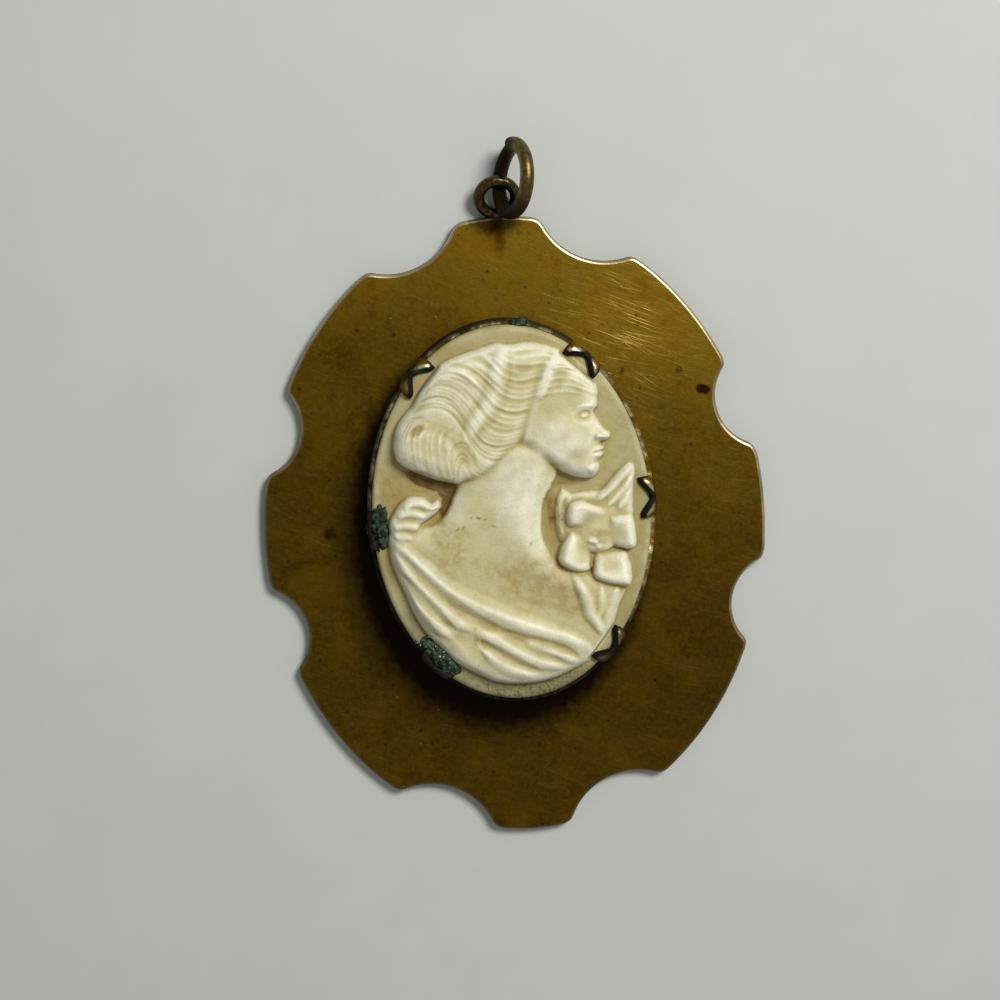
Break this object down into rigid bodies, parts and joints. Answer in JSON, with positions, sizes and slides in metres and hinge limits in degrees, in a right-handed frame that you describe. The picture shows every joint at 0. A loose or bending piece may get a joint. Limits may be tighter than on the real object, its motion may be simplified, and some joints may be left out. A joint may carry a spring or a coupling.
{
  "type": "cameo pendant",
  "caption": "Oval carved cameo bust in a low clawed cup on a lobed brass back plate, with a soldered loop and an open jump ring.",
  "frame": {"origin": "middle of the back plate's back face", "axes": "+Z out of the carved front, +Y towards the loop and jump ring, +X to the right as seen from the front"},
  "size_m": [0.038, 0.0531, 0.0065],
  "materials": {
    "plate_brass": "aged olive-brown patina over brass, with fine scratches and bright worn edges",
    "setting_brass": "dark tarnish with bright worn claw tops and green verdigris",
    "cameo_resin": "matt ivory cast resin, with ochre stain in its hollows",
    "ring_metal": "dull greyish brass wire"
  },
  "bodies": {
    "root": {"back_plate": "plate_brass", "setting": "setting_brass", "rivet": "plate_brass", "cameo": "cameo_resin", "jump_ring": "ring_metal"}
  },
  "joints": []
}
